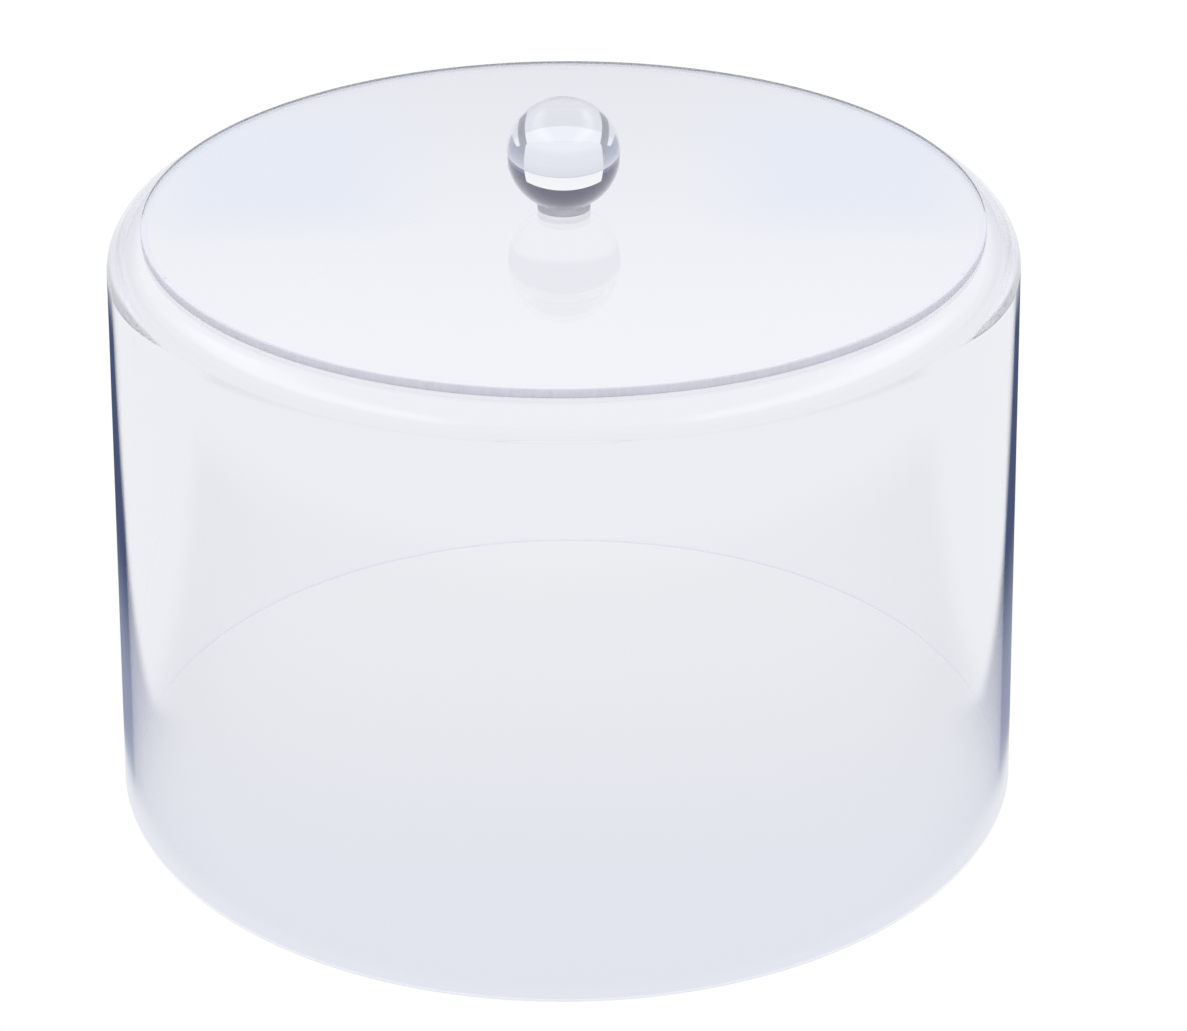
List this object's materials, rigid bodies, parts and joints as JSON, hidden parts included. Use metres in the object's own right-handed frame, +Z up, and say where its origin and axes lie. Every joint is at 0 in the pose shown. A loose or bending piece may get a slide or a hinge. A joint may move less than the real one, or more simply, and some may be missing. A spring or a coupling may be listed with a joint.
{
  "type": "cheese dome",
  "caption": "Clear acrylic food cover: drafted round wall with a rounded shoulder, a flat bonded top disc and a ball knob on a short collar.",
  "frame": {"origin": "centre of the circular rim, in the plane that the dome stands on", "axes": "+Z up along the dome's axis through the knob; X and Y are free directions across the round wall"},
  "size_m": [0.311, 0.3108, 0.2425],
  "materials": {
    "clear_wall": "formed clear acrylic, high gloss, faint handling scratches, bluish where seen along the sheet",
    "clear_disc": "flat clear acrylic sheet, high gloss faces, cut edge a little satin and bluish",
    "clear_collar": "slice of clear acrylic tube with faint tool lines round its side",
    "clear_ball": "solid clear acrylic, optically polished"
  },
  "bodies": {
    "root": {"dome_wall": "clear_wall", "top_disc": "clear_disc", "knob_collar": "clear_collar", "knob_ball": "clear_ball"}
  },
  "joints": []
}
